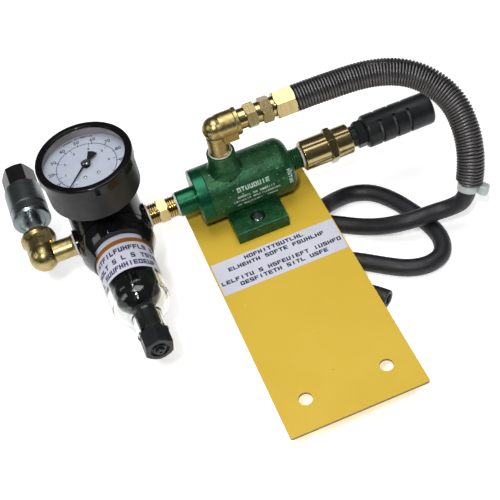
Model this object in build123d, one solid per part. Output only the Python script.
from build123d import *
import os
from math import cos, pi, radians, sin, tan

os.makedirs("parts", exist_ok=True)

# Air-driven suction pump on a mounting plate, in millimetres. X runs along the pump towards its
# exhaust, Y from the plate's two holes towards the pump, Z up. The origin is midway between the
# two holes, on the plate's underside.

# Mounting plate
plate_width = 82.55
plate_length = 190.5
plate_thickness = 2.0
plate_corner = 1.5
plate_hole_d = 7.94
plate_hole_spacing = 48.8
plate_hole_edge = 19.9
label_start = 87.0
label_depth = 26.0
label_margin = 0.8
label_thickness = 0.15

# Pump
pump_from_holes = 152.8
body_d = 36.0
body_above_plate = 2.0
body_length = 56.0
body_left = -25.3
body_end_round = 7.0
throat_d = 5.4
exhaust_bore_d = 9.0
chamber_d = 24.0
chamber_depth = 30.0
flange_length = 7.5
hub_wall = 1.3
hub_length = 11.8
nose_length = 10.3
foot_width = 34.0
foot_beyond_screw = 9.7
foot_back = 14.0
foot_height = 8.6
foot_screw_from_body = 4.5
boss_x = -10.3
boss_wall = 1.95
boss_above_body = 12.0
screw_d = 5.0
screw_head_d = 8.5
screw_head = 2.8
counterbore_depth = 3.6

# Pipe threads (1/4 in taper), hexagons and running gaps
thread_d = 13.7
thread_pitch = 1.41
thread_depth = 0.6
thread_hold = 8.0
pipe_bore_d = 8.0
fit_gap = 0.1
shaft_gap = 0.06
seal_cord = 1.6
running_gap = 0.3
tape_thickness = 0.6
tape_width = 1.2

# Exhaust silencer
coupling_wall = 3.0
coupling_length = 31.5
coupling_hex_rise = 0.45
coupling_hex_length = 5.2
coupling_hex_start = 15.4
muffler_neck = 4.0
muffler_collar_wall = 2.15
muffler_collar_length = 6.0
muffler_d = 21.4
muffler_length = 46.0
muffler_wall = 2.2
muffler_slots = 3
muffler_slot_first = 8.8
muffler_slot_pitch = 9.7
muffler_slot_width = 2.0

# Vacuum line
elbow_rise = 19.0
elbow_reach = 15.0
elbow_wall = 1.75
elbow_leg_d = 13.0
adapter_hex_rise = 0.3
adapter_length = 23.0
ferrule_wall = 2.5
ferrule_length = 13.0
hose_d = 11.0
hose_bore_d = 6.4
barb_bore_d = 3.6
guard_slack = 1.1
guard_wall = 1.9
tie_width = 4.8
tie_thickness = 1.3
tie_lean = -0.9
hose_below_plate = 3.0

# Supply nipple and regulator
nipple_length = 20.0
nipple_hex_rise = 0.3
nipple_hex_length = 6.2
port_wall = 2.35
port_stand_out = 0.5
regulator_top = 18.0
regulator_base_gap = 0.8
neck_wall = 2.9
neck_length = 8.0
bowl_d = 34.5
bowl_wall = 2.4
bowl_side = 52.0
bowl_reach = 77.0
bowl_neck_d = 18.3
bowl_flange = 2.4
collar_wall = 2.6
collar_length = 16.5
collar_lip = 1.25
bowl_label_gap = 11.9
bowl_label_length = 27.9
drain_hex = 16.0
drain_length = 12.5
drain_travel = 2.0
drain_cup = 9.5
retainer_length = 24.5
bonnet_length = 26.0
bonnet_small_d = 31.0
knob_d = 36.0
knob_length = 30.0
knob_overlap = 7.0
knob_turns = 3
screw_pitch = 1.5
adjusting_d = 10.0
valve_travel = 1.2
valve_seat_d = 5.2
element_d = 22.0
element_bore_d = 14.0
element_length = 28.0

# Gauge
gauge_top = 88.0
gauge_d = 57.3
gauge_case_d = 55.0
gauge_depth = 26.8
gauge_wall = 0.8
dial_drop = 9.0
rim_wall = 0.5
gauge_zero = -132.0
pointer_reach = 21.0

# Supply inlet
inlet_leg = 21.0
inlet_reach = 16.7
inlet_wall = 2.35
inlet_bead = 1.75
plug_d = 7.8
plug_bore_d = 11.6
plug_hex = 14.3
plug_hex_length = 5.0
plug_neck = 5.5
sleeve_d = 24.5
sleeve_length = 28.8
sleeve_travel = 5.0
coupler_hex = 19.3
coupler_hex_length = 17.5
inlet_thread_d = 11.4
inlet_thread_length = 11.0

# Where the main axes lie, and the sizes that follow from what each part holds
pump_height = plate_thickness + body_above_plate + body_d / 2
foot_screw_reach = body_d / 2 + foot_screw_from_body
foot_reach = foot_screw_reach + foot_beyond_screw
boss_height = body_d / 2 + boss_above_body
boss_d = thread_d + 2 * boss_wall
hub_d = thread_d + 2 * hub_wall
coupling_d = thread_d + 2 * coupling_wall
coupling_hex = coupling_d + 2 * coupling_hex_rise
muffler_collar_d = thread_d + 2 * muffler_collar_wall
elbow_arm_d = thread_d + 2 * elbow_wall
inlet_barrel_d = thread_d + 2 * inlet_wall
port_boss_d = thread_d + 2 * port_wall
regulator_base = port_boss_d / 2 + regulator_base_gap
bowl_straight = regulator_base + bowl_side
bowl_end = regulator_base + bowl_reach
bowl_label_start = regulator_base + bowl_label_gap
adapter_hex = thread_d + 2 * adapter_hex_rise
nipple_hex = thread_d + 2 * nipple_hex_rise
ferrule_hex = hose_d + 2 * ferrule_wall
guard_d = hose_d + 2 * guard_slack + 2 * guard_wall
bowl_bore_d = bowl_d + 0.5
neck_d = bowl_bore_d + 2 * neck_wall
regulator_d = neck_d + 2 * collar_wall
regulator_width = regulator_d + 2 * port_stand_out
collar_small_d = bowl_d + 2 * collar_lip
coupler_gap = plug_hex_length + sleeve_travel + plug_neck
body_right = body_left + body_length
flange_left = body_left - flange_length
hub_left = flange_left - hub_length
nose_right = body_right + nose_length
port_right = hub_left - nipple_length
regulator_x = port_right - regulator_width / 2
port_left = regulator_x - regulator_width / 2
inlet_x = port_left - inlet_leg
arm_z = pump_height + boss_height + elbow_rise
adapter_left = boss_x + elbow_reach
ferrule_left = adapter_left + adapter_length
guard_left = ferrule_left + ferrule_length
coupling_right = nose_right + coupling_length
muffler_left = coupling_right + muffler_neck + muffler_collar_length
muffler_right = muffler_left + muffler_length


def facing(x, y, z, towards, across):
    """A place whose local Z points along the first direction and local X along the second."""
    return Plane(origin=(x, y, z), x_dir=across, z_dir=towards).location


EAST, NORTH, UP = (1, 0, 0), (0, 1, 0), (0, 0, 1)
along_pump = facing(0, pump_from_holes, pump_height, EAST, NORTH)
along_arm = facing(0, pump_from_holes, arm_z, EAST, NORTH)
on_boss = facing(boss_x, pump_from_holes, pump_height, UP, EAST)
to_knob = facing(regulator_x, pump_from_holes, pump_height, NORTH, EAST)
to_bowl = facing(regulator_x, pump_from_holes, pump_height, (0, -1, 0), EAST)
on_gauge = facing(regulator_x, pump_from_holes, 0, UP, EAST)
along_coupler = facing(inlet_x, pump_from_holes, pump_height, NORTH, EAST)


def turned(*outline):
    """A solid turned about local Z from points of (radius, station) or (radius, station, round)."""
    points = [(point[0], 0, point[1]) for point in outline]
    rounds = [point[2] if len(point) > 2 else 0 for point in outline]
    if any(rounds):
        edge = FilletPolyline(*points, radius=rounds, close=True)
    else:
        edge = Polyline(*points, close=True)
    return revolve(make_face(edge), Axis.Z, 360)


def tube(outer_d, bore_d, start, end):
    """A round bar or tube between two stations of local Z."""
    return turned((bore_d / 2, start), (outer_d / 2, start), (outer_d / 2, end), (bore_d / 2, end))


def threaded(outer_d, start, end):
    """A bar with thread-like ridges, one for each pitch."""
    crest, root = outer_d / 2, outer_d / 2 - thread_depth
    count = max(1, int((end - start) / thread_pitch))
    step = (end - start) / count
    points = [(0, start), (root, start)]
    for turn in range(count):
        points += [(crest, start + (turn + 0.4) * step), (crest, start + (turn + 0.6) * step)]
        points += [(root, start + (turn + 1) * step)]
    return turned(*points, (0, end))


def hexagon(flats, start, end, bore_d=0, turn=0):
    """A hexagon bar with both ends chamfered, between two stations of local Z."""
    corner, rim = flats / 2 / cos(pi / 6), flats / 2 * 0.98
    rise = (corner - rim) * tan(pi / 6)
    bar = Pos(0, 0, start) * extrude(Rot(0, 0, turn) * RegularPolygon(corner, 6), end - start)
    solid = bar & turned((0, start), (rim, start), (corner, start + rise), (corner, end - rise),
                         (rim, end), (0, end))
    return solid - tube(bore_d, 0, start, end) if bore_d else solid


def coil(middle_d, wire_d, start, end, turns):
    """A compression spring between two stations of local Z."""
    rise = end - start - wire_d
    path = Helix(pitch=rise / turns, height=rise, radius=middle_d / 2)
    section = Plane(origin=path @ 0, z_dir=path % 0) * Circle(wire_d / 2)
    return Pos(0, 0, start + wire_d / 2) * sweep(section, path=path, is_frenet=True)


def rubber_ring(middle_d, cord_d, station):
    return Pos(0, 0, station) * Torus(middle_d / 2, cord_d / 2)


def write(name, *solids):
    group = solids[0] if len(solids) == 1 else Compound(children=list(solids))
    export_step(group, "parts/" + name + ".step")


def street_elbow(leg, reach, barrel_d, bead, leg_d, ball_r, pad_side):
    """Male leg down local -Z to `leg`, female arm with a bead at its mouth along local X to `reach`."""
    solid = Pos(0, 0, 0) * Sphere(ball_r)
    collar = -leg + tape_width + 0.1
    solid += turned((0, -leg), (thread_d / 2 - thread_depth, -leg), (thread_d / 2 - thread_depth, collar),
                    (leg_d / 2 + 0.4, collar), (leg_d / 2, collar + 1.5), (leg_d / 2, -ball_r * 0.7),
                    (ball_r * 0.7, 0), (0, 0))
    solid += Pos(0, 0, -leg - thread_hold) * threaded(thread_d, 0, thread_hold)
    arm = facing(0, 0, 0, EAST, NORTH)
    barrel_r, mouth_r = barrel_d / 2, barrel_d / 2 + bead
    solid += arm * turned((0, 0), (ball_r * 0.96, 0), (barrel_r, ball_r * 0.4), (barrel_r, reach - 2.4 - bead),
                          (mouth_r, reach - 2.4), (mouth_r, reach - 0.5), (mouth_r - 0.5, reach), (0, reach))
    pad_length, pad_side_y = reach - 5.5, pad_side * barrel_d * 0.27
    solid += Pos(reach / 2 - 0.2, pad_side_y, -barrel_d * 0.22) * Box(pad_length, barrel_d * 0.42, barrel_d * 0.52)
    solid -= tube(pipe_bore_d, 0, -leg - thread_hold, 0)
    solid -= Sphere(pipe_bore_d / 2)
    solid -= arm * tube(pipe_bore_d, 0, 0, reach)
    solid -= arm * tube(thread_d + fit_gap, 0, reach - thread_hold, reach)
    return solid


# Mounting plate and what is on it
def plate_holes(start, end, hole_d):
    half = plate_hole_spacing / 2
    return Pos(-half, 0, 0) * tube(hole_d, 0, start, end) + Pos(half, 0, 0) * tube(hole_d, 0, start, end)


plate_centre_y = plate_length / 2 - plate_hole_edge
plate = extrude(Pos(0, plate_centre_y, 0) * RectangleRounded(plate_width, plate_length, plate_corner),
                plate_thickness)
plate -= plate_holes(0, plate_thickness, plate_hole_d)
foot_middle = (body_left + body_right) / 2 - 3.8
screw_places = [(foot_middle, pump_from_holes - foot_screw_reach), (foot_middle, pump_from_holes + 6.0)]
for screw_x, screw_y in screw_places:
    plate -= Pos(screw_x, screw_y, 0) * tube(screw_d + 2 * fit_gap, 0, 0, plate_thickness)
write("mounting_plate", plate)

label = Pos(0, label_start + label_depth / 2, plate_thickness) * extrude(
    RectangleRounded(plate_width - 2 * label_margin, label_depth, 1.0), label_thickness)
write("plate_label", label)

# Pump body: a round casting with a foot, a vacuum boss on top and a threaded exhaust nose
foot_top = plate_thickness + foot_height
foot = Pos(foot_middle, pump_from_holes + (foot_back - foot_reach) / 2,
           plate_thickness + foot_height / 2) * Box(foot_width, foot_reach + foot_back, foot_height)
foot = fillet(foot.edges().filter_by(Axis.X).group_by(Axis.Z)[-1].group_by(Axis.Y)[0], 1.0)
casting = along_pump * turned((0, body_left), (body_d / 2, body_left), (body_d / 2, body_right, body_end_round),
                              (thread_d / 2 + 1, body_right), (0, body_right))
casting += foot
casting += on_boss * turned((0, 0), (boss_d / 2 + 2.5, 0), (boss_d / 2 + 2.5, body_d / 2 - 1),
                            (boss_d / 2, body_d / 2 + 4), (boss_d / 2, boss_height, 0.6), (0, boss_height))
casting += along_pump * threaded(thread_d, body_right, nose_right)
casting -= along_pump * turned((0, body_left), (chamber_d / 2, body_left),
                               (chamber_d / 2, body_left + chamber_depth),
                               (throat_d / 2, body_left + chamber_depth + 6),
                               (throat_d / 2, body_left + chamber_depth + 14),
                               (exhaust_bore_d / 2, nose_right), (0, nose_right))
casting -= on_boss * tube(pipe_bore_d, 0, 0, boss_height)
casting -= on_boss * tube(thread_d + fit_gap, 0, boss_height - thread_hold - 0.5, boss_height)
seat_x, seat_y = screw_places[0]
casting -= Pos(seat_x, seat_y, 0) * tube(screw_d + 2 * fit_gap, 0, plate_thickness, foot_top)
casting -= Pos(seat_x, seat_y, 0) * tube(screw_head_d + 1, 0, foot_top - counterbore_depth, foot_top + 8)
tapped_x, tapped_y = screw_places[1]
tapped_depth = 6.0
casting -= Pos(tapped_x, tapped_y, 0) * tube(screw_d + 2 * fit_gap, 0, plate_thickness,
                                             plate_thickness + tapped_depth + 0.5)
write("pump_body", casting)

# End cap, with the air inlet hub and the shoulder that seats in the body
cap = along_pump * turned((0, hub_left), (hub_d / 2 - 0.5, hub_left), (hub_d / 2, hub_left + 0.5),
                          (hub_d / 2, flange_left), (body_d / 2 - 0.5, flange_left),
                          (body_d / 2, flange_left + 0.5), (body_d / 2, body_left),
                          (chamber_d / 2 - fit_gap, body_left), (chamber_d / 2 - fit_gap, body_left + 5),
                          (0, body_left + 5))
cap -= along_pump * tube(thread_d + fit_gap, 0, hub_left, hub_left + thread_hold + 0.5)
cap -= along_pump * tube(pipe_bore_d, 0, hub_left, body_left + 5)
cap -= along_pump * tube(chamber_d, chamber_d - 2 * seal_cord - 4 * fit_gap, body_left + 1.5, body_left + 4)
write("pump_end_cap", cap)
write("body_seal", along_pump * rubber_ring(chamber_d - seal_cord - 2 * fit_gap, seal_cord, body_left + 2.75))

# Nozzle pushed into the cap, blowing into the throat of the body
nozzle_left = hub_left + thread_hold + 1.5
nozzle = along_pump * turned((1.5, nozzle_left), (pipe_bore_d / 2 - fit_gap / 2, nozzle_left),
                             (pipe_bore_d / 2 - fit_gap / 2, body_left + 5), (6, body_left + 5),
                             (6, body_left + 8), (4, body_left + 9), (2.4, body_left + 24),
                             (1.1, body_left + 24), (1.1, body_left + 18))
write("nozzle", nozzle)
# Foot screw with its nut, and the screw that comes up through the plate into the foot
head_z = foot_top - counterbore_depth


def slotted_screw(shank_end):
    """A pan-head screw standing head up on its seat at station 0, with its shank below."""
    head = turned((0, 0), (screw_head_d / 2, 0), (screw_head_d / 2, screw_head * 0.5),
                  (screw_head_d / 2 - 1.4, screw_head), (0, screw_head))
    slot = Pos(0, 0, screw_head) * Box(1.2, screw_head_d + 1, screw_head)
    return head - slot + tube(screw_d, 0, -shank_end, 0)


nut_height = 2.6
top_screw = Pos(seat_x, seat_y, head_z) * slotted_screw(head_z + nut_height + 0.6)
low_screw = Pos(tapped_x, tapped_y, 0) * Rot(180, 0, 0) * slotted_screw(plate_thickness + tapped_depth)
write("foot_screws", top_screw, low_screw)
foot_nut = Pos(seat_x, seat_y, 0) * hexagon(8.0, -nut_height, 0, screw_d + 2 * fit_gap)
write("foot_nut", foot_nut)

# Exhaust coupling and silencer
coupling = along_pump * turned((0, nose_right - 1.5, 0), (coupling_d / 2 - 0.8, nose_right - 1.5),
                               (coupling_d / 2, nose_right - 0.7), (coupling_d / 2, coupling_right - 0.8),
                               (coupling_d / 2 - 0.8, coupling_right), (0, coupling_right))
hex_left = nose_right + coupling_hex_start
coupling += along_pump * hexagon(coupling_hex, hex_left, hex_left + coupling_hex_length)
coupling -= along_pump * tube(thread_d + fit_gap, 0, nose_right - 2, coupling_right)
write("exhaust_coupling", coupling)

slot_first = muffler_left + muffler_slot_first
muffler = along_pump * threaded(thread_d, coupling_right - thread_hold, coupling_right)
muffler += along_pump * tube(thread_d, 0, coupling_right, coupling_right + muffler_neck)
muffler += along_pump * hexagon(muffler_collar_d * cos(pi / 6), coupling_right + muffler_neck, muffler_left)
muffler += along_pump * turned((0, muffler_left), (muffler_d / 2, muffler_left, 2.0),
                               (muffler_d / 2, muffler_right - 3), (0, muffler_right - 3))
muffler -= along_pump * tube(pipe_bore_d, 0, coupling_right - thread_hold, muffler_left + 3)
muffler -= along_pump * tube(muffler_d - 2 * muffler_wall, 0, muffler_left + 3, muffler_right - 3)
for slot in range(muffler_slots):
    slot_x = slot_first + slot * muffler_slot_pitch
    ring_cut = tube(muffler_d + 2, muffler_d - 2 * muffler_wall - 1, slot_x, slot_x + muffler_slot_width)
    for side in (-1, 1):
        rib = Pos(0, side * muffler_d / 2, slot_x + muffler_slot_width / 2) * Box(
            7, 8, muffler_slot_width + 1)
        ring_cut -= rib
    muffler -= along_pump * ring_cut
write("muffler_body", muffler)
element_gap = muffler_d - 2 * muffler_wall - 2 * fit_gap
write("muffler_element", along_pump * tube(element_gap, element_gap - 6, muffler_left + 3.2, muffler_right - 3.2))
muffler_cap = along_pump * turned((0, muffler_right - 3), (muffler_d / 2, muffler_right - 3),
                                  (muffler_d / 2, muffler_right, 2.0), (0, muffler_right))
write("muffler_end_cap", muffler_cap)

# White sealing tape that shows at each taper thread
tape_d = thread_d + 2 * tape_thickness


def tape(station):
    return tube(tape_d, thread_d, station, station + tape_width)


tapes = [along_pump * tape(hub_left - tape_width),
         along_pump * tape(port_right),
         along_pump * tape(port_left - tape_width),
         along_pump * tube(tape_d, thread_d, nose_right - 1.5 - tape_width, nose_right - 1.5),
         on_boss * tape(boss_height)]
write("thread_tape", *tapes)

# Vacuum elbow, double-hexagon adapter with its hose barb, and crimped ferrule
vacuum_elbow = Pos(boss_x, pump_from_holes, arm_z) * street_elbow(
    elbow_rise, elbow_reach, elbow_arm_d - 1.0, 0.5, elbow_leg_d, elbow_leg_d / 2 + 1.0, -1)
write("vacuum_elbow", vacuum_elbow)

adapter_mid = adapter_left + adapter_length / 2
adapter = threaded(thread_d, adapter_left - thread_hold + 0.5, adapter_left)
adapter += tube(thread_d - 1.2, 0, adapter_left, ferrule_left)
adapter += hexagon(adapter_hex, adapter_left + 4.5, adapter_mid - 0.2, turn=10)
adapter += hexagon(adapter_hex, adapter_mid + 2.6, ferrule_left - 2.0, turn=35)
barb_r = hose_bore_d / 2 - fit_gap / 2
barb_end = guard_left - 2.0
barb_count = 3
barb_step = (barb_end - ferrule_left) / barb_count
barb = [(0, ferrule_left - 1), (barb_r - 0.4, ferrule_left - 1), (barb_r - 0.4, ferrule_left)]
for tooth in range(barb_count):
    tooth_start = ferrule_left + tooth * barb_step
    barb += [(barb_r, tooth_start + 0.4), (barb_r - 0.4, tooth_start + barb_step)]
adapter += turned(*barb, (0, barb_end))
adapter -= tube(barb_bore_d, 0, adapter_left - thread_hold, barb_end)
write("hose_adapter", along_arm * adapter)

ferrule = hexagon(ferrule_hex, ferrule_left, guard_left, turn=20)
ferrule -= tube(hose_d + 2 * fit_gap, 0, ferrule_left + 1.5, guard_left)
ferrule -= tube(hose_bore_d + 0.2, 0, ferrule_left, ferrule_left + 1.5)
write("hose_ferrule", along_arm * ferrule)

# Suction hose: inside its spring guard over the silencer, then down to the surface below the
# plate, round under the plate, under itself, and back under the plate to its open end
surface = -2 * hose_d - hose_below_plate
low = surface + hose_d / 2
over = low + hose_d
hose_start = ferrule_left + 1.7
hose_route = [
    (hose_start, pump_from_holes, arm_z), (64, pump_from_holes, arm_z), (94, 150, 70.6), (116, 140, 66),
    (129.5, 122, 55), (131, 106, 40), (127.5, 94, 24), (120.5, 87.5, 1.5), (112, 92.5, over + 2),
    (103, 95, over + 0.4), (91.5, 95.6, over + 0.2), (80.5, 98.5, over - 1.5), (70.5, 106, low + 4),
    (59.5, 115.5, low), (46, 126, low), (27, 139, low), (6, 150, low), (-14, 151, low), (-28, 141, low),
    (-31, 125.5, low), (-22, 112.5, low), (-6, 109.5, low), (10.5, 115, low + 2), (26.5, 124.5, over + 0.2),
    (40.5, 132.5, over + 0.2), (53, 141.5, low + 3.5), (66, 145, low), (78.5, 139.5, low), (87.5, 127.5, low),
    (94, 112.5, low), (99, 97, low), (100.5, 82.5, low), (95.5, 71, low), (84.5, 67.3, low),
    (72, 70.5, low), (60.5, 79, low), (49.5, 88.5, low), (38.5, 96.5, low), (26.5, 102, low),
    (13, 102.3, low), (1, 96, low), (-5, 84.5, low), (-2, 72.5, low), (8.5, 65.5, low), (21, 66.5, low),
    (33, 69.3, low), (42.8, 65.8, low), (50.7, 55.2, low)]


def bend_radii(route):
    """For each corner, 0.45 of its shorter run over the tangent of half its turn."""
    radii = []
    for before, here, after in zip(route, route[1:], route[2:]):
        run_in, run_out = Vector(*here) - Vector(*before), Vector(*after) - Vector(*here)
        turn = radians(run_in.get_angle(run_out))
        radii.append(0.45 * min(run_in.length, run_out.length) / tan(turn / 2))
    return radii


def cord_path(route):
    return FilletPolyline(*route, radius=bend_radii(route))


def along_cord(path, outer_d, bore_d=0):
    start = Plane(origin=path @ 0, z_dir=path % 0)
    section = Circle(outer_d / 2) - Circle(bore_d / 2) if bore_d else Circle(outer_d / 2)
    return sweep(start * section, path=path)


hose_path = cord_path(hose_route)
hose = along_cord(hose_path, hose_d, hose_bore_d)
write("suction_hose", hose)
hose_section = pi / 4 * (hose_d ** 2 - hose_bore_d ** 2)
print("hose length", round(hose_path.length, 1), "section times length",
      round(hose_section * hose_path.length), "volume", round(hose.volume))
print("hose radii", [round(radius, 1) for radius in bend_radii(hose_route)])

# Spring guard over the first part of the hose, and the tie that stops it
guard_share = 0.5
guard_corner = Vector(*hose_route[6])
last_run = Vector(*hose_route[7]) - guard_corner
guard_end = guard_corner + last_run * guard_share
guard_route = [(guard_left, pump_from_holes, arm_z)] + hose_route[1:7] + [tuple(guard_end)]
guard_radii = bend_radii([hose_route[0]] + hose_route[1:8])
guard_path = FilletPolyline(*guard_route, radius=guard_radii)
guard = along_cord(guard_path, guard_d, guard_d - 2 * guard_wall)
write("spring_guard", guard)
print("guard length", round(guard_path.length, 1), "volume", round(guard.volume))

tie_way = last_run.normalized()
tie_place = Plane(origin=guard_end + tie_way * 0.9, x_dir=(1, tie_lean, 0), z_dir=tie_way).location
tie_head = Pos(hose_d / 2 + tie_thickness + 2.6, 0, tie_width / 2) * Box(6.0, 8.0, 6.0)
tie = chamfer(tie_head.edges().filter_by(Axis.Y), 1.2)
tie += tube(hose_d + 2 * tie_thickness, hose_d + 2 * fit_gap, 0, tie_width)
write("cable_tie", tie_place * tie)

# Supply nipple between the pump and the regulator
nipple_middle = (port_right + hub_left) / 2
nipple = along_pump * threaded(thread_d, port_right - thread_hold, port_right + 6.5)
nipple += along_pump * threaded(thread_d, hub_left - 6.5, hub_left + thread_hold)
nipple += along_pump * tube(thread_d - 2 * thread_depth, 0, port_right, hub_left)
nipple += along_pump * hexagon(nipple_hex, nipple_middle - nipple_hex_length / 2,
                               nipple_middle + nipple_hex_length / 2, turn=15)
nipple -= along_pump * tube(pipe_bore_d, 0, port_right - thread_hold, hub_left + thread_hold)
write("supply_nipple", nipple)

# Regulator body, with air ports left and right, gauge ports above and below
half_width = regulator_width / 2
passage_x, passage_d = half_width - thread_hold - 2.5, 5.0
gauge_port_z = regulator_d / 2 + 1
block = turned((0, -regulator_top), (regulator_d / 2 - 0.8, -regulator_top), (regulator_d / 2, -regulator_top + 0.8),
               (regulator_d / 2, regulator_base - 0.5), (neck_d / 2, regulator_base),
               (neck_d / 2, regulator_base + neck_length), (0, regulator_base + neck_length))
body = to_bowl * block
body += on_gauge * tube(port_boss_d - 1, 0, pump_height - gauge_port_z, pump_height + gauge_port_z)
body += along_pump * tube(port_boss_d, 0, port_left, port_right)
body -= to_bowl * tube(bowl_bore_d, 0, regulator_base, regulator_base + neck_length)
body -= to_knob * tube(34.0, 0, 12.0, regulator_top)
body -= to_knob * tube(valve_seat_d, 0, 5.0, 12.0)
body -= to_bowl * tube(11.0, 0, -5.0, regulator_base)
body -= along_pump * tube(thread_d + fit_gap, 0, port_left, port_left + thread_hold + 1)
body -= along_pump * tube(thread_d + fit_gap, 0, port_right - thread_hold - 1, port_right)
body -= to_knob * Pos(passage_x, 0, 0) * tube(passage_d, 0, 0, 12.5)
body -= to_bowl * Pos(-passage_x, 0, 0) * tube(passage_d, 0, 0, regulator_base + 0.5)
body -= on_gauge * tube(thread_d + fit_gap, 0, pump_height + gauge_port_z - thread_hold - 1,
                        pump_height + gauge_port_z)
body -= on_gauge * tube(thread_d + fit_gap, 0, pump_height - gauge_port_z,
                        pump_height - gauge_port_z + thread_hold + 1)
write("regulator_body", body)
write("port_plug", on_gauge * (threaded(thread_d, pump_height - gauge_port_z + 0.4, pump_height - gauge_port_z
                                        + thread_hold) - hexagon(6.0, pump_height - gauge_port_z,
                                                                 pump_height - gauge_port_z + 5)))

# Valve: poppet pushed shut by its spring against the seat in the body, and the cage below it
seat_low = 5.0
plate_low = regulator_top - 1.4
tail = -1.8 - valve_travel
poppet = to_knob * turned((0, tail), (2.0, tail), (2.0, 1.0), (4.4, 1.0), (4.4, seat_low - 0.8),
                          (3.4, seat_low - 0.05), (1.5, seat_low - 0.05), (1.5, plate_low - 0.05), (0, plate_low - 0.05))
write("valve_poppet", poppet)
write("valve_spring", to_bowl * coil(6.6, 0.8, -0.9, 7.4, 4))
cage_top = 7.6
stud_end = regulator_base + element_length + 12.0
cage = to_bowl * turned((0, cage_top), (5.4, cage_top), (5.4, regulator_base), (7.5, regulator_base),
                        (7.5, regulator_base + 1.6), (2.5, regulator_base + 1.6), (2.5, stud_end), (0, stud_end))
write("valve_cage", cage)

# Filter: vaned deflector, porous element, retainer screwed on the stud
deflector_low = regulator_base + 1.7
deflector = to_bowl * tube(28.0, 5.2, deflector_low, deflector_low + 2.4)
for vane in range(8):
    deflector -= to_bowl * Rot(0, 0, vane * 45) * Pos(13.4, 0, deflector_low + 1.2) * Rot(30, 0, 0) * Box(5, 1.4, 6)
write("filter_deflector", deflector)
element_low = deflector_low + 2.6
write("filter_element", to_bowl * tube(element_d, element_bore_d, element_low, element_low + element_length))
retainer_low = element_low + element_length + 0.2
bowl_inner_r = bowl_d / 2 - bowl_wall
shroud_r, shroud_end = bowl_inner_r - 0.9, retainer_low + retainer_length
retainer = to_bowl * turned((2.6, retainer_low), (shroud_r, retainer_low), (shroud_r, shroud_end - 9.0, 4.0),
                            (shroud_r * 0.55, shroud_end, 2.0), (0, shroud_end), (0, stud_end + 0.2),
                            (2.6, stud_end + 0.2))
write("filter_retainer", retainer)

# Bowl, its seal and its screwed collar with a window, its label and the push drain
bowl_top = regulator_base + 2.2
flange_low = regulator_base + neck_length + 0.2
bowl_r = bowl_d / 2
neck_r = bowl_neck_d / 2
shoulder = bowl_straight + 11.0
bowl = to_bowl * turned((bowl_inner_r, bowl_top), (bowl_r, bowl_top), (bowl_r, flange_low),
                        (neck_d / 2 - 0.2, flange_low), (neck_d / 2 - 0.2, flange_low + bowl_flange),
                        (bowl_r, flange_low + bowl_flange), (bowl_r, bowl_straight + 6, 9.0), (neck_r, shoulder, 4.0),
                        (neck_r, bowl_end), (neck_r - bowl_wall, bowl_end), (neck_r - bowl_wall, shoulder - 1.5, 3.0),
                        (bowl_inner_r, bowl_straight + 4.4, 7.0))
write("bowl", bowl)
write("bowl_o_ring", to_bowl * rubber_ring(bowl_d - 2.2, 1.9, regulator_base + 1.1))

collar_low = regulator_base + 0.3
collar_end = collar_low + collar_length
lip_start = flange_low + bowl_flange + 0.2
collar = to_bowl * turned((neck_d / 2 + fit_gap, collar_low), (regulator_d / 2, collar_low),
                          (regulator_d / 2, collar_end - 10), (collar_small_d / 2, collar_end, 1.0),
                          (bowl_r + running_gap, collar_end), (bowl_r + running_gap, lip_start),
                          (neck_d / 2 + fit_gap, lip_start))
window = to_bowl * Pos(0, regulator_d / 2, collar_end) * Box(
    bowl_d - 5.5, regulator_d, 2 * (collar_end - lip_start - 0.8))
collar -= window
write("bowl_collar", collar)

label_end = bowl_label_start + bowl_label_length
label_sleeve = tube(bowl_d + 0.4, bowl_d, bowl_label_start, label_end)
label_sleeve -= Pos(0, -bowl_d, (bowl_label_start + label_end) / 2) * Box(2 * bowl_d, 2 * bowl_d, 2 * bowl_label_length)
write("bowl_label", to_bowl * label_sleeve)

drain_start = bowl_end + 0.1
drain_end = drain_start + drain_length
drain_plug = turned((0, drain_start - 9), (neck_r - bowl_wall - fit_gap, drain_start - 9),
                    (neck_r - bowl_wall - fit_gap, drain_start), (0, drain_start))
drain_bore_d = 5.2
drain_body = drain_plug + hexagon(drain_hex, drain_start, drain_end, turn=20)
drain_body -= tube(drain_bore_d, 0, drain_start - 6, drain_end)
drain_body -= tube(3.0, 0, drain_start - 9, drain_start - 6)
cup_r = neck_r - bowl_wall - fit_gap
drain_body += tube(2 * cup_r, 2 * cup_r - 3.0, drain_start - 9 - drain_cup, drain_start - 9)
drain_body -= tube(11.0, 7.6, drain_end - 1.5, drain_end)
write("drain_body", to_bowl * drain_body)
stem_gap = 0.15
stem_end = drain_end + drain_travel - 0.2
stem = turned((0, drain_start - 12.0), (2.2, drain_start - 12.0), (2.2, drain_start - 9.6), (1.3, drain_start - 9.1),
              (1.3, drain_start - 1.0), (drain_bore_d / 2 - stem_gap, drain_start - 1.0),
              (drain_bore_d / 2 - stem_gap, stem_end, 0.5), (0.8, stem_end), (0.8, drain_start),
              (0, drain_start))
write("drain_stem", to_bowl * stem)
write("drain_spring", to_bowl * coil(4.0, 0.6, drain_start - 5.9, drain_start - 1.1, 4))

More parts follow.
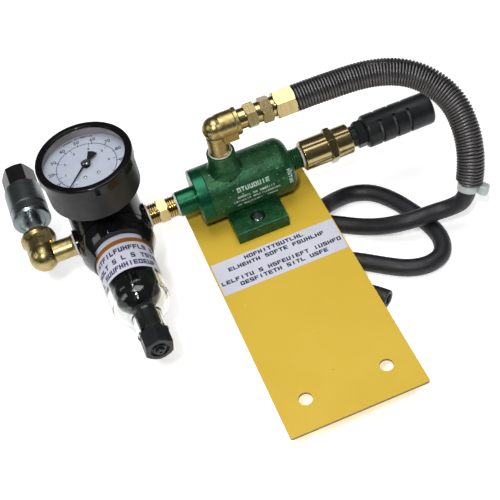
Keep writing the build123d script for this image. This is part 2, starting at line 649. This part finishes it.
# Bonnet side: diaphragm, control spring, adjusting screw and knob
diaphragm_top = regulator_top + 1.0
write("diaphragm", to_knob * tube(regulator_d - 2, 0, regulator_top, diaphragm_top))
write("diaphragm_plates",
      to_knob * turned((0, diaphragm_top), (14, diaphragm_top), (14, diaphragm_top + 1),
                       (6, diaphragm_top + 1), (6, diaphragm_top + 2.4), (0, diaphragm_top + 2.4)),
      to_knob * tube(24.0, 0, plate_low, regulator_top))
bonnet_end = regulator_top + bonnet_length
bonnet = to_knob * turned((regulator_d / 2 - 0.9, regulator_top + 0.1), (regulator_d / 2, regulator_top + 0.1),
                          (regulator_d / 2, regulator_top + 4.0, 1.5), (bonnet_small_d / 2, regulator_top + 9.0, 2.0),
                          (bonnet_small_d / 2, bonnet_end), (adjusting_d / 2 + 0.05, bonnet_end),
                          (adjusting_d / 2 + 0.05, bonnet_end - 4.0), (bonnet_small_d / 2 - 2.5, bonnet_end - 4.0),
                          (bonnet_small_d / 2 - 2.5, regulator_top + 7.0), (regulator_d / 2 - 4.5, diaphragm_top + 0.1),
                          (regulator_d / 2 - 0.9, diaphragm_top + 0.1))
write("bonnet", bonnet)
nut_travel = knob_turns * screw_pitch
nut_high = bonnet_end - 4.6
nut_low = nut_high - 3.5
seat_nut = to_knob * turned((adjusting_d / 2 - 1 + 0.05, nut_low), (12.0, nut_low), (12.0, nut_high),
                            (adjusting_d / 2 - 1 + 0.05, nut_high))
write("spring_seat", seat_nut)
write("control_spring", to_knob * coil(18.0, 2.0, diaphragm_top + 1.1, nut_low - 0.1, 4))
screw_low = nut_low - nut_travel - 7.4
knob_top = bonnet_end - knob_overlap + knob_length
adjusting = to_knob * turned((0, screw_low), (adjusting_d / 2 - 1, screw_low), (adjusting_d / 2 - 1, nut_high + 0.2),
                             (adjusting_d / 2, nut_high + 0.2), (adjusting_d / 2, bonnet_end + 0.5),
                             (adjusting_d / 2 - 0.6, bonnet_end + 0.5), (adjusting_d / 2 - 0.6, knob_top - 4),
                             (0, knob_top - 4))
write("adjusting_screw", adjusting)
knob_low = bonnet_end - knob_overlap
knob = turned((bonnet_small_d / 2 + running_gap, knob_low), (knob_d / 2, knob_low), (knob_d / 2, knob_top, 2.5),
              (0, knob_top), (0, knob_top - 4 + 0.1), (adjusting_d / 2 - 0.55, knob_top - 4 + 0.1),
              (adjusting_d / 2 - 0.55, bonnet_end + 0.6), (bonnet_small_d / 2 + running_gap, bonnet_end + 0.6))
knob_flutes = 16
for flute in range(knob_flutes):
    knob -= Rot(0, 0, flute * 360 / knob_flutes) * Pos(knob_d / 2 + 0.9, 0, 0) * tube(4.0, 0, knob_low + 3, knob_top - 3)
write("adjusting_knob", to_knob * knob)

# Pressure gauge, standing on the upper gauge port with its face up
port_top = pump_height + gauge_port_z
case_low = gauge_top - gauge_depth
stem_piece = threaded(thread_d, port_top - thread_hold, port_top)
stem_piece += tube(12.0, 0, port_top, case_low)
stem_piece += hexagon(14.0, port_top + 4, case_low - 1.5, turn=12)
stem_piece += tube(9.8, 0, case_low, case_low + 3.0)
stem_piece += Pos(0, -12.0, case_low + 4.5) * Box(9, 12, 7) + Pos(0, -4, case_low + 2.5) * Box(7, 9, 2.8)
stem_piece -= tube(3.0, 0, port_top - thread_hold, case_low + 2)
write("gauge_stem", on_gauge * stem_piece)

case_r = gauge_case_d / 2
case_high = gauge_top - 3.0
case = turned((5.1, case_low), (case_r - 1.5, case_low), (case_r, case_low + 1.5), (case_r, case_high),
              (case_r - gauge_wall, case_high), (case_r - gauge_wall, case_low + gauge_wall), (5.1, case_low + gauge_wall))
write("gauge_case", on_gauge * case)
dial_z = gauge_top - dial_drop
inner_r = case_r - gauge_wall - 0.2
bezel = turned((case_r + 0.1, gauge_top - 6.5), (gauge_d / 2, gauge_top - 6.5), (gauge_d / 2, gauge_top, 1.2),
               (inner_r - 2.2, gauge_top, 0.8), (inner_r - 2.2, gauge_top - 1.4), (inner_r, gauge_top - 1.4),
               (inner_r, gauge_top - 2.9), (case_r + 0.1, gauge_top - 2.9))
write("gauge_bezel", on_gauge * bezel)
write("gauge_lens", on_gauge * tube(2 * inner_r - 0.2, 0, gauge_top - 2.9, gauge_top - 1.5))
write("gauge_rim", on_gauge * tube(2 * inner_r - 0.2, 2 * (inner_r - 0.1 - rim_wall), dial_z + 0.7, gauge_top - 3.0))
dial = tube(2 * inner_r - 0.2, 4.4, dial_z, dial_z + 0.6)
rivet_places = [(-3.3, -9.1), (5.0, -9.0)]
for rivet_x, rivet_y in rivet_places:
    dial += Pos(rivet_x, rivet_y, dial_z + 0.6) * Cylinder(1.1, 0.8)
stop_angle = radians(gauge_zero + 5.5)
stop_pin = Pos((pointer_reach - 6) * cos(stop_angle), (pointer_reach - 6) * sin(stop_angle), dial_z + 1.2)
dial += stop_pin * Cylinder(0.5, 1.6)
write("gauge_dial", on_gauge * dial)

needle_z = dial_z + 2.4
needle = Polyline((0, -0.55), (pointer_reach, -0.25), (pointer_reach, 0.25), (0, 0.55),
                  (-3.0, 0.7), (-8.8, 3.0), (-9.4, 0), (-8.8, -3.0), (-3.0, -0.7), close=True)
pointer = extrude(make_face(needle), 0.5) + extrude(Circle(2.9), 0.5) - extrude(Circle(0.9), 0.5)
write("gauge_pointer", on_gauge * Rot(0, 0, gauge_zero) * Pos(0, 0, needle_z) * pointer)
shaft = turned((0, case_low + 9.2), (0.9, case_low + 9.2), (0.9, needle_z + 0.5), (2.2, needle_z + 0.5),
               (2.2, needle_z + 1.0), (1.4, needle_z + 1.5), (0, needle_z + 1.5))
write("pointer_shaft", on_gauge * shaft)
movement_low = case_low + 9.0
movement = Pos(-3, 0, movement_low - 0.5) * Box(14, 9, 1.0) + Pos(0, -9, movement_low - 0.5) * Box(6, 10, 1.0)
movement -= Pos(0, 0, movement_low - 0.5) * Cylinder(0.96, 2)
movement += Pos(-8, 0, movement_low + 1.0) * Box(3, 8, 2.0) + Pos(-3, 0, movement_low + 2.5) * Box(14, 9, 1.0)
movement -= Pos(0, 0, movement_low + 2.5) * Cylinder(0.96, 2)
write("gauge_movement", on_gauge * movement)
bourdon_r, bourdon_z = 17.5, case_low + 5.0
bourdon_arc = CenterArc((0, 0, bourdon_z), bourdon_r, -70, 250)
bourdon_section = Plane(origin=bourdon_arc @ 0, z_dir=bourdon_arc % 0) * Ellipse(3.2, 1.2)
bourdon = sweep(bourdon_section, path=bourdon_arc)
write("bourdon_tube", on_gauge * bourdon)

# Inlet elbow, plug nipple and quick coupler
inlet_place = facing(inlet_x, pump_from_holes, pump_height, (-1, 0, 0), NORTH)
inlet_elbow = inlet_place * street_elbow(inlet_leg, inlet_reach, inlet_barrel_d, inlet_bead, elbow_leg_d,
                                         inlet_barrel_d / 2, -1)
write("inlet_elbow", inlet_elbow)

plug_land_r = plug_bore_d / 2 - shaft_gap
sleeve_low = inlet_reach + coupler_gap
plug = threaded(thread_d, inlet_reach - thread_hold + 0.5, inlet_reach)
plug += hexagon(plug_hex, inlet_reach, inlet_reach + plug_hex_length, turn=8)
plug += turned((0, inlet_reach), (plug_land_r, inlet_reach), (plug_land_r, sleeve_low + 4.0), (plug_d / 2, sleeve_low + 5.5),
               (plug_d / 2, sleeve_low + 9.5), (plug_land_r, sleeve_low + 10.5), (plug_land_r, sleeve_low + 14.0),
               (plug_d / 2, sleeve_low + 15.0), (plug_d / 2, sleeve_low + 21.0), (0, sleeve_low + 21.0))
plug -= tube(5.2, 0, inlet_reach - thread_hold, sleeve_low + 22.0)
write("plug_nipple", along_coupler * plug)

sleeve_high = sleeve_low + sleeve_length
hex_low, hex_high = sleeve_high, sleeve_high + coupler_hex_length
core_d = 17.0
ball_d = 3.0
ball_station = sleeve_low + 7.5
core = turned((plug_bore_d / 2, sleeve_low + 0.6), (core_d / 2, sleeve_low + 0.6), (core_d / 2, hex_low - 8.0),
              (inlet_thread_d / 2 + 1.4, hex_low - 8.0), (inlet_thread_d / 2 + 1.4, hex_low),
              (4.2, hex_low), (4.2, sleeve_low + 22.0), (plug_bore_d / 2, sleeve_low + 22.0))
ball_count = 4
ball_r = plug_d / 2 + ball_d / 2 + 0.12
for ball in range(ball_count):
    core -= Rot(0, 0, ball * 360 / ball_count) * Pos(ball_r, 0, ball_station) * Rot(0, 90, 0) * Cylinder(
        ball_d / 2 + 0.1, 6)
write("coupler_body", along_coupler * core)
balls = [along_coupler * Rot(0, 0, ball * 360 / ball_count) * Pos(ball_r, 0, ball_station) * Sphere(ball_d / 2)
         for ball in range(ball_count)]
write("locking_balls", *balls)

pocket_r = coupler_hex / 2 / cos(pi / 6) + running_gap / 2
sleeve = turned((core_d / 2 + shaft_gap, sleeve_low), (sleeve_d / 2 - 1.2, sleeve_low), (sleeve_d / 2, sleeve_low + 1.4),
                (sleeve_d / 2, sleeve_low + 8.0), (sleeve_d / 2 - 0.8, sleeve_low + 8.6),
                (sleeve_d / 2 - 0.8, sleeve_low + 9.6), (sleeve_d / 2, sleeve_low + 10.2),
                (sleeve_d / 2, sleeve_high - 0.8), (sleeve_d / 2 - 0.8, sleeve_high),
                (pocket_r, sleeve_high), (pocket_r, sleeve_low + 14.0),
                (core_d / 2 + shaft_gap, sleeve_low + 14.0))
write("coupler_sleeve", along_coupler * sleeve)
write("coupler_spring", along_coupler * coil(19.0, 1.3, sleeve_low + 14.1, hex_low - 0.1, 5))
write("coupler_seal", along_coupler * rubber_ring((plug_d + plug_bore_d) / 2, (plug_bore_d - plug_d) / 2 - 2 * fit_gap, sleeve_low + 18.0))

coupler_end = hexagon(coupler_hex, hex_low, hex_high, turn=0)
coupler_end -= tube(inlet_thread_d, 0, hex_high - inlet_thread_length, hex_high)
coupler_end -= tube(8.4, 0, hex_low, hex_high)
write("coupler_inlet", along_coupler * coupler_end)
